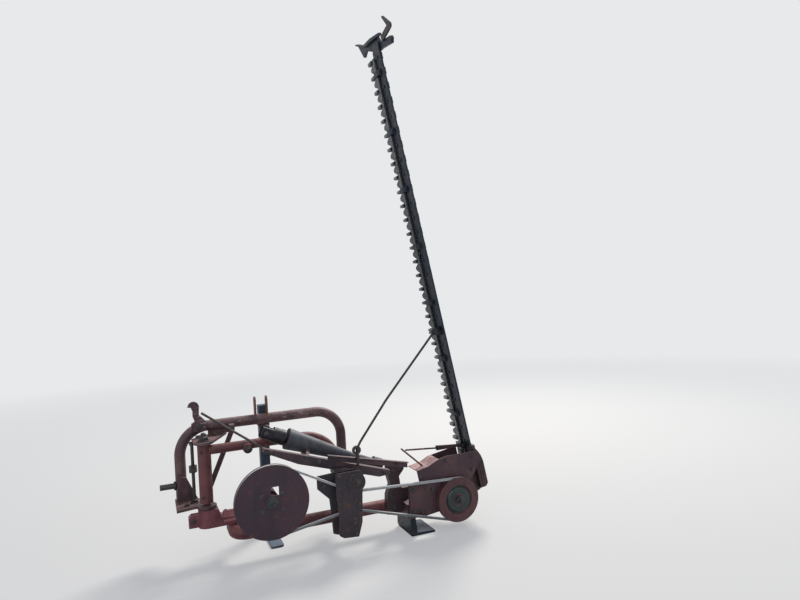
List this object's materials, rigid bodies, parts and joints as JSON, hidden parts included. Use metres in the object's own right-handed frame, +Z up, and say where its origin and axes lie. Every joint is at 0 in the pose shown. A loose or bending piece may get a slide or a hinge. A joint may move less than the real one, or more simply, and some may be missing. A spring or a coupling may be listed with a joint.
{
  "type": "sickle bar mower",
  "caption": "Rear-mounted, belt-driven sickle bar mower with a bent-tube hitch hoop, a swing-back frame, and its long cutter bar folded up for transport.",
  "frame": {"origin": "bottom centre of the whole machine's box, on the floor it is parked on", "axes": "+X to the machine's right, +Y forward towards the tractor, +Z up"},
  "size_m": [1.6174, 0.6708, 2.6187],
  "materials": {
    "red_paint": "faded and worn",
    "bare_steel": "dull, rusted",
    "cutter_steel": "dark and greasy, tips worn bright",
    "belt_rubber": "dusty",
    "stand_blue": "worn",
    "shield_grey": "worn"
  },
  "bodies": {
    "hitch": {"hitch_hoop": "red_paint", "hitch_pins": "bare_steel", "top_link_ears": "red_paint", "upper_swing_plate": "red_paint", "lower_swing_plate": "red_paint", "brace_bar": "red_paint", "latch_tie": "bare_steel", "lift_lever": "red_paint", "stand_sleeve": "red_paint"},
    "stand": {"parking_stand": "stand_blue"},
    "swing_frame": {"swivel_post": "red_paint", "post_foot": "red_paint", "main_pipe": "red_paint", "mid_tube": "red_paint", "lift_beam": "red_paint", "upper_channel": "red_paint", "upright": "red_paint", "input_bearing": "red_paint", "idler_cover": "red_paint", "idler_bracket": "red_paint", "head_yoke": "red_paint", "yoke_skid": "red_paint", "rod_eye_bolt": "bare_steel", "lift_rod": "bare_steel", "driveline_shield": "shield_grey", "driveline_cradles": "red_paint", "drive_belt": "belt_rubber"},
    "drive_wheel": {"drive_pulley": "red_paint", "input_shaft": "bare_steel"},
    "head_drive": {"driven_pulley": "red_paint", "head_shaft": "bare_steel"},
    "upper_idler_wheel": {"upper_idler": "red_paint"},
    "lower_idler_wheel": {"lower_idler": "red_paint"},
    "bar_assembly": {"inner_shoe": "cutter_steel", "head_hood": "red_paint", "cutter_bar": "cutter_steel", "head_strap": "bare_steel", "rod_lug": "cutter_steel", "guards": "cutter_steel", "knife_clips": "cutter_steel", "outer_shoe": "cutter_steel", "grass_stick": "cutter_steel"},
    "knife": {"knife": "cutter_steel"},
    "rod": {"transport_rod": "cutter_steel"},
    "driveline_front": {"driveline_yoke": "bare_steel"}
  },
  "joints": [
    {"name": "stand_slide", "type": "slide", "parent": "hitch", "child": "stand", "axis": [0, 0, 1], "range_m": [0, 0.3]},
    {"name": "breakaway_swing", "type": "hinge", "parent": "hitch", "child": "swing_frame", "pos_m": [-0.60223, 0.0976, 0.4], "axis": [0, 0, -1], "range_deg": [0, 30]},
    {"name": "drive_spin", "type": "hinge", "parent": "swing_frame", "child": "drive_wheel", "pos_m": [-0.34123, -0.2024, 0.315], "axis": [0, 1, 0], "continuous": true},
    {"name": "head_spin", "type": "hinge", "parent": "swing_frame", "child": "head_drive", "pos_m": [0.60877, -0.2024, 0.159], "axis": [0, 1, 0], "continuous": true},
    {"name": "upper_idler_spin", "type": "hinge", "parent": "swing_frame", "child": "upper_idler_wheel", "pos_m": [0.05877, -0.2024, 0.344], "axis": [0, 1, 0], "continuous": true},
    {"name": "lower_idler_spin", "type": "hinge", "parent": "swing_frame", "child": "lower_idler_wheel", "pos_m": [0.03377, -0.2024, 0.161], "axis": [0, 1, 0], "continuous": true},
    {"name": "bar_lift", "type": "hinge", "parent": "swing_frame", "child": "bar_assembly", "pos_m": [0.60877, -0.0724, 0.159], "axis": [0, 1, 0], "range_deg": [0, 120]},
    {"name": "knife_stroke", "type": "slide", "parent": "bar_assembly", "child": "knife", "axis": [-0.1857, 0, 0.9826], "range_m": [-0.0381, 0.0381]},
    {"name": "transport_rod_swing", "type": "hinge", "parent": "swing_frame", "child": "rod", "pos_m": [0.09377, -0.1524, 0.483], "axis": [0, -1, 0], "range_deg": [0, 116]},
    {"name": "driveline_telescope", "type": "slide", "parent": "swing_frame", "child": "driveline_front", "axis": [-0.9205, 0, 0.3907], "range_m": [0, 0.15]}
  ],
  "couplings": [
    {"joint": "head_spin", "follows": "drive_spin", "ratio": 1.5219},
    {"joint": "upper_idler_spin", "follows": "drive_spin", "ratio": -3.3124},
    {"joint": "lower_idler_spin", "follows": "drive_spin", "ratio": -3.3124}
  ]
}
